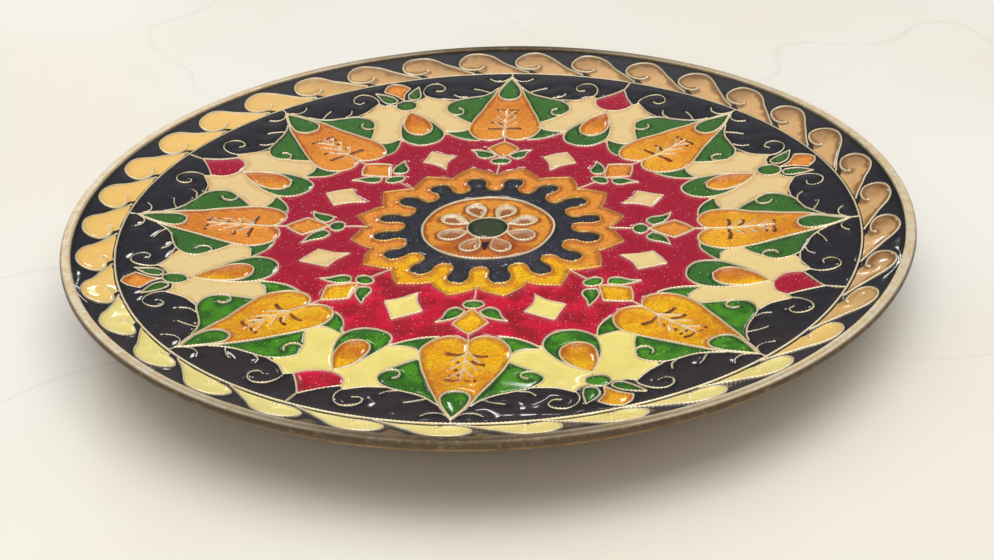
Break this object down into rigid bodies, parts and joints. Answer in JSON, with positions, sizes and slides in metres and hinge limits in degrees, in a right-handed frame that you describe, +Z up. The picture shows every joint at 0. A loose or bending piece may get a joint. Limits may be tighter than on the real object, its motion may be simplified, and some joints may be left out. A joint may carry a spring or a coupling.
{
  "type": "plate",
  "caption": "Shallow round footed plate of metal, its face filled with enamel cells in a traditional floral rosette outlined by fine wires.",
  "frame": {"origin": "centre of the foot's tread on the table, at z = 0, under the plate's axis", "axes": "+Z up along the plate's axis; +Y towards the first heart of the ornament"},
  "size_m": [0.2, 0.2, 0.02],
  "materials": {
    "dish_metal": "spun, aged brass",
    "rim_metal": "rounded and rubbed brass",
    "wire_metal": "pale toothed wire",
    "dark_enamel": "opaque near-black enamel, glossy",
    "cream_enamel": "opaque cream enamel, glossy",
    "amber_enamel": "amber enamel, glossy",
    "green_enamel": "green enamel, glossy",
    "crimson_enamel": "crimson enamel, glossy"
  },
  "bodies": {
    "root": {"dish": "dish_metal", "rim_ring": "rim_metal", "foot_ring": "dish_metal", "border_wire": "wire_metal", "rim_ground": "dark_enamel", "rim_drops": "cream_enamel", "dark_ground": "dark_enamel", "heart_1": "amber_enamel", "heart_2": "amber_enamel", "heart_3": "amber_enamel", "heart_4": "amber_enamel", "heart_5": "amber_enamel", "heart_6": "amber_enamel", "heart_7": "amber_enamel", "heart_8": "amber_enamel", "heart_leaf_1": "green_enamel", "heart_leaf_2": "green_enamel", "heart_leaf_3": "green_enamel", "heart_leaf_4": "green_enamel", "heart_leaf_5": "green_enamel", "heart_leaf_6": "green_enamel", "heart_leaf_7": "green_enamel", "heart_leaf_8": "green_enamel", "bud_1": "green_enamel", "bud_2": "green_enamel", "bud_3": "green_enamel", "bud_4": "green_enamel", "bud_5": "green_enamel", "bud_6": "green_enamel", "bud_7": "green_enamel", "bud_8": "green_enamel", "fruit_1": "crimson_enamel", "fruit_2": "crimson_enamel", "fruit_3": "crimson_enamel", "fruit_4": "crimson_enamel", "flower_1": "amber_enamel", "flower_2": "amber_enamel", "flower_3": "amber_enamel", "flower_4": "amber_enamel", "fruit_scroll_1": "cream_enamel", "fruit_scroll_2": "cream_enamel", "fruit_scroll_3": "cream_enamel", "fruit_scroll_4": "cream_enamel", "flower_scroll_1": "cream_enamel", "flower_scroll_2": "cream_enamel", "flower_scroll_3": "cream_enamel", "flower_scroll_4": "cream_enamel", "crimson_ground": "crimson_enamel", "star_1": "cream_enamel", "star_2": "cream_enamel", "star_3": "cream_enamel", "star_4": "cream_enamel", "star_5": "cream_enamel", "star_6": "cream_enamel", "star_7": "cream_enamel", "star_8": "cream_enamel", "amber_ring": "amber_enamel", "dark_ring": "dark_enamel", "medallion": "amber_enamel", "centre": "green_enamel"}
  },
  "joints": []
}
